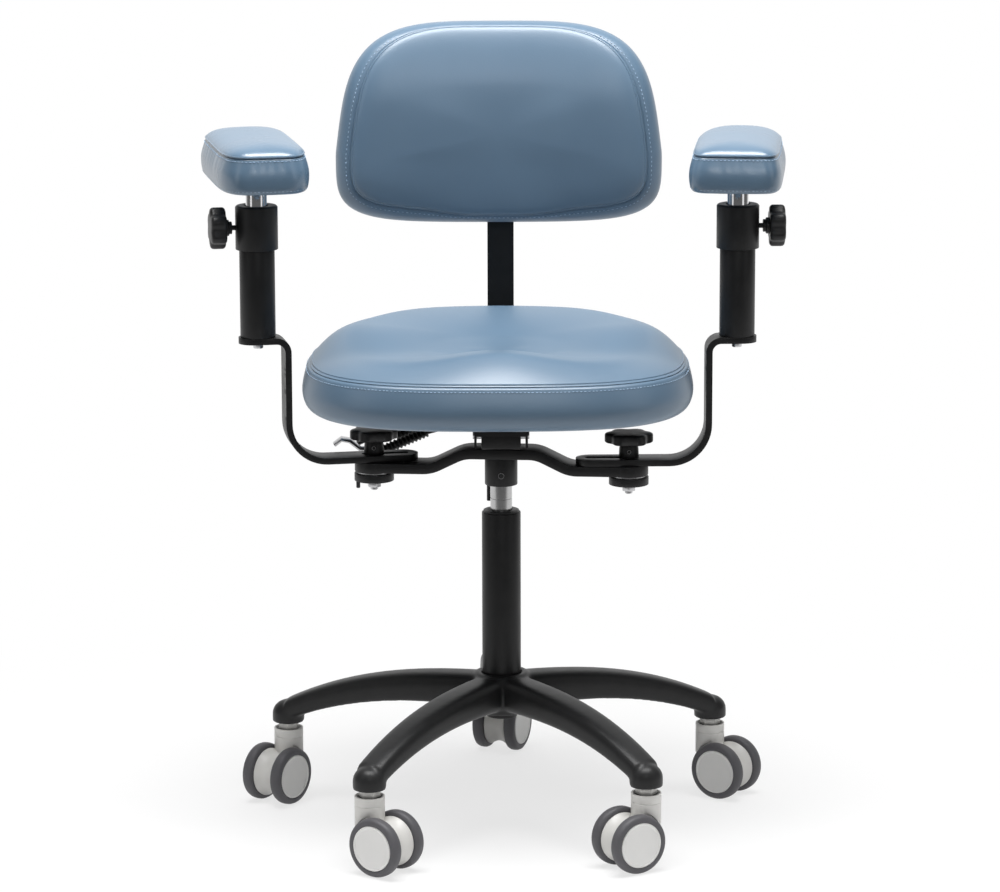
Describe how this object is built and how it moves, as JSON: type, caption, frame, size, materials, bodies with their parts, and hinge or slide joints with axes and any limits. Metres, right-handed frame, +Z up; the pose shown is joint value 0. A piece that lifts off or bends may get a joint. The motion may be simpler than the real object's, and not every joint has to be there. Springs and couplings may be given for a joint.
{
  "type": "operator chair",
  "caption": "Operator's chair with a dished round seat, low backrest and padded swing-out armrests, on a gas-lift column with a castor base.",
  "frame": {"origin": "on the floor, in the middle of the chair's box", "axes": "+Z up; the chair faces -Y; +X is to the right of someone who looks at its front"},
  "size_m": [0.7398, 0.6642, 1.0106],
  "materials": {
    "black_coat": "satin powder coat",
    "black_plastic": "satin moulded nylon",
    "chrome": "polished",
    "steel": "zinc plated",
    "blue_leather": "soft-sheen faux leather",
    "grey_plastic": "satin",
    "grey_tread": "matt tread with a pale face disc",
    "board": "black stain"
  },
  "bodies": {
    "base": {"base_star": "black_plastic", "column_tube": "black_coat", "column_bush": "black_plastic", "thrust_bearing": "steel", "piston_rod": "chrome", "caster_1_stem": "steel", "caster_2_stem": "steel", "caster_3_stem": "steel", "caster_4_stem": "steel", "caster_5_stem": "steel"},
    "lift": {"gas_cylinder": "chrome"},
    "upper": {"arm_yoke": "black_coat", "seat_mechanism": "black_coat", "tilt_axle": "steel", "back_hinge_pin": "steel"},
    "seat": {"seat_plate": "black_coat", "seat_board": "board", "seat_cushion": "blue_leather"},
    "back": {"back_post": "black_coat"},
    "backrest": {"back_carrier": "black_plastic", "back_board": "board", "back_cushion": "blue_leather"},
    "back_knob": {"back_knob": "black_plastic"},
    "height_lever": {"height_lever": "black_plastic"},
    "tilt_lever": {"tilt_lever": "black_plastic"},
    "arm_left_pivot": {"arm_left_pivot_bolt": "steel", "arm_left_friction_disc": "black_plastic"},
    "arm_left_bracket": {"arm_left_bracket": "black_coat", "arm_left_column_screw": "steel", "arm_left_column": "black_coat", "arm_left_collar": "black_plastic"},
    "arm_left_post": {"arm_left_post": "chrome"},
    "arm_left_pad": {"arm_left_pad": "blue_leather"},
    "arm_left_clamp_knob": {"arm_left_clamp_knob": "black_plastic"},
    "arm_left_pivot_knob": {"arm_left_pivot_knob": "black_plastic"},
    "arm_right_pivot": {"arm_right_pivot_bolt": "steel", "arm_right_friction_disc": "black_plastic"},
    "arm_right_bracket": {"arm_right_bracket": "black_coat", "arm_right_column_screw": "steel", "arm_right_column": "black_coat", "arm_right_collar": "black_plastic"},
    "arm_right_post": {"arm_right_post": "chrome"},
    "arm_right_pad": {"arm_right_pad": "blue_leather"},
    "arm_right_clamp_knob": {"arm_right_clamp_knob": "black_plastic"},
    "arm_right_pivot_knob": {"arm_right_pivot_knob": "black_plastic"},
    "caster_1": {"caster_1_housing": "grey_plastic"},
    "caster_2": {"caster_2_housing": "grey_plastic"},
    "caster_3": {"caster_3_housing": "grey_plastic"},
    "caster_4": {"caster_4_housing": "grey_plastic"},
    "caster_5": {"caster_5_housing": "grey_plastic"},
    "caster_1_wheel_left": {"caster_1_wheel_left": "grey_tread"},
    "caster_1_wheel_right": {"caster_1_wheel_right": "grey_tread"},
    "caster_2_wheel_left": {"caster_2_wheel_left": "grey_tread"},
    "caster_2_wheel_right": {"caster_2_wheel_right": "grey_tread"},
    "caster_3_wheel_left": {"caster_3_wheel_left": "grey_tread"},
    "caster_3_wheel_right": {"caster_3_wheel_right": "grey_tread"},
    "caster_4_wheel_left": {"caster_4_wheel_left": "grey_tread"},
    "caster_4_wheel_right": {"caster_4_wheel_right": "grey_tread"},
    "caster_5_wheel_left": {"caster_5_wheel_left": "grey_tread"},
    "caster_5_wheel_right": {"caster_5_wheel_right": "grey_tread"}
  },
  "joints": [
    {"name": "lift", "type": "slide", "parent": "base", "child": "lift", "axis": [0, 0, 1], "range_m": [-0.03, 0.1]},
    {"name": "seat_swivel", "type": "hinge", "parent": "lift", "child": "upper", "pos_m": [0.0074, -0.0297, 0.45], "axis": [0, 0, 1], "continuous": true},
    {"name": "seat_tilt", "type": "hinge", "parent": "upper", "child": "seat", "pos_m": [0.0074, -0.0647, 0.51], "axis": [-1, 0, 0], "range_deg": [-3, 5]},
    {"name": "back_recline", "type": "hinge", "parent": "upper", "child": "back", "pos_m": [0.0074, 0.0863, 0.506], "axis": [-1, 0, 0], "range_deg": [-5, 15]},
    {"name": "back_height", "type": "slide", "parent": "back", "child": "backrest", "axis": [0, 0, 1], "range_m": [-0.04, 0.04]},
    {"name": "back_knob_turn", "type": "hinge", "parent": "backrest", "child": "back_knob", "pos_m": [0.0074, 0.2423, 0.8266], "axis": [0, 1, 0], "range_deg": [-270, 0]},
    {"name": "height_lever_pull", "type": "hinge", "parent": "upper", "child": "height_lever", "pos_m": [-0.0179, 0.0423, 0.51], "axis": [0, 1, 0], "range_deg": [0, 6], "stiffness_Nm_per_rad": 0.5, "springref_deg": -2.86},
    {"name": "tilt_lever_pull", "type": "hinge", "parent": "upper", "child": "tilt_lever", "pos_m": [-0.0179, 0.0643, 0.51], "axis": [0, 1, 0], "range_deg": [0, 6], "stiffness_Nm_per_rad": 0.5, "springref_deg": -2.86},
    {"name": "arm_left_swing", "type": "hinge", "parent": "upper", "child": "arm_left_pivot", "pos_m": [-0.15598, -0.01541, 0.468], "axis": [0, 0, 1], "range_deg": [-26, 14]},
    {"name": "arm_left_slide", "type": "slide", "parent": "arm_left_pivot", "child": "arm_left_bracket", "axis": [-0.9816, -0.1908, 0], "range_m": [-0.011, 0.034]},
    {"name": "arm_left_height", "type": "slide", "parent": "arm_left_bracket", "child": "arm_left_post", "axis": [0, 0, 1], "range_m": [-0.02, 0.055]},
    {"name": "arm_left_pad_turn", "type": "hinge", "parent": "arm_left_post", "child": "arm_left_pad", "pos_m": [-0.30126, -0.04365, 0.831], "axis": [0, 0, 1], "range_deg": [-40, 40]},
    {"name": "arm_left_clamp_knob_turn", "type": "hinge", "parent": "arm_left_bracket", "child": "arm_left_clamp_knob", "pos_m": [-0.30126, -0.04365, 0.7749], "axis": [-0.9816, -0.1908, 0], "range_deg": [-270, 0]},
    {"name": "arm_left_pivot_knob_turn", "type": "hinge", "parent": "arm_left_pivot", "child": "arm_left_pivot_knob", "pos_m": [-0.15598, -0.01541, 0.48], "axis": [0, 0, 1], "range_deg": [-270, 0]},
    {"name": "arm_right_swing", "type": "hinge", "parent": "upper", "child": "arm_right_pivot", "pos_m": [0.17078, -0.04399, 0.468], "axis": [0, 0, 1], "range_deg": [-19, 15]},
    {"name": "arm_right_slide", "type": "slide", "parent": "arm_right_pivot", "child": "arm_right_bracket", "axis": [0.9998, 0.0175, 0], "range_m": [0, 0.045]},
    {"name": "arm_right_height", "type": "slide", "parent": "arm_right_bracket", "child": "arm_right_post", "axis": [0, 0, 1], "range_m": [-0.02, 0.055]},
    {"name": "arm_right_pad_turn", "type": "hinge", "parent": "arm_right_post", "child": "arm_right_pad", "pos_m": [0.30776, -0.0416, 0.831], "axis": [0, 0, 1], "range_deg": [-40, 40]},
    {"name": "arm_right_clamp_knob_turn", "type": "hinge", "parent": "arm_right_bracket", "child": "arm_right_clamp_knob", "pos_m": [0.30776, -0.0416, 0.7749], "axis": [0.9998, 0.0175, 0], "range_deg": [-270, 0]},
    {"name": "arm_right_pivot_knob_turn", "type": "hinge", "parent": "arm_right_pivot", "child": "arm_right_pivot_knob", "pos_m": [0.17078, -0.04399, 0.48], "axis": [0, 0, 1], "range_deg": [-270, 0]},
    {"name": "caster_1_swivel", "type": "hinge", "parent": "base", "child": "caster_1", "pos_m": [0.18698, -0.26121, 0.09], "axis": [0, 0, 1], "continuous": true},
    {"name": "caster_2_swivel", "type": "hinge", "parent": "base", "child": "caster_2", "pos_m": [0.28308, 0.06955, 0.09], "axis": [0, 0, 1], "continuous": true},
    {"name": "caster_3_swivel", "type": "hinge", "parent": "base", "child": "caster_3", "pos_m": [-0.0018, 0.26315, 0.09], "axis": [0, 0, 1], "continuous": true},
    {"name": "caster_4_swivel", "type": "hinge", "parent": "base", "child": "caster_4", "pos_m": [-0.27397, 0.05204, 0.09], "axis": [0, 0, 1], "continuous": true},
    {"name": "caster_5_swivel", "type": "hinge", "parent": "base", "child": "caster_5", "pos_m": [-0.15729, -0.27204, 0.09], "axis": [0, 0, 1], "continuous": true},
    {"name": "caster_1_roll_left", "type": "hinge", "parent": "caster_1", "child": "caster_1_wheel_left", "pos_m": [0.16463, -0.27449, 0.0375], "axis": [0.5105, -0.8599, 0], "continuous": true},
    {"name": "caster_1_roll_right", "type": "hinge", "parent": "caster_1", "child": "caster_1_wheel_right", "pos_m": [0.16463, -0.27449, 0.0375], "axis": [0.5105, -0.8599, 0], "continuous": true},
    {"name": "caster_2_roll_left", "type": "hinge", "parent": "caster_2", "child": "caster_2_wheel_left", "pos_m": [0.30453, 0.05486, 0.0375], "axis": [0.565, 0.8251, 0], "continuous": true},
    {"name": "caster_2_roll_right", "type": "hinge", "parent": "caster_2", "child": "caster_2_wheel_right", "pos_m": [0.30453, 0.05486, 0.0375], "axis": [0.565, 0.8251, 0], "continuous": true},
    {"name": "caster_3_roll_left", "type": "hinge", "parent": "caster_3", "child": "caster_3_wheel_left", "pos_m": [0.00794, 0.28726, 0.0375], "axis": [-0.9272, 0.3746, 0], "continuous": true},
    {"name": "caster_3_roll_right", "type": "hinge", "parent": "caster_3", "child": "caster_3_wheel_right", "pos_m": [0.00794, 0.28726, 0.0375], "axis": [-0.9272, 0.3746, 0], "continuous": true},
    {"name": "caster_4_roll_left", "type": "hinge", "parent": "caster_4", "child": "caster_4_wheel_left", "pos_m": [-0.28899, 0.03083, 0.0375], "axis": [0.8161, -0.5779, 0], "continuous": true},
    {"name": "caster_4_roll_right", "type": "hinge", "parent": "caster_4", "child": "caster_4_wheel_right", "pos_m": [-0.28899, 0.03083, 0.0375], "axis": [0.8161, -0.5779, 0], "continuous": true},
    {"name": "caster_5_roll_left", "type": "hinge", "parent": "caster_5", "child": "caster_5_wheel_left", "pos_m": [-0.13626, -0.28732, 0.0375], "axis": [0.5878, 0.809, 0], "continuous": true},
    {"name": "caster_5_roll_right", "type": "hinge", "parent": "caster_5", "child": "caster_5_wheel_right", "pos_m": [-0.13626, -0.28732, 0.0375], "axis": [0.5878, 0.809, 0], "continuous": true}
  ]
}
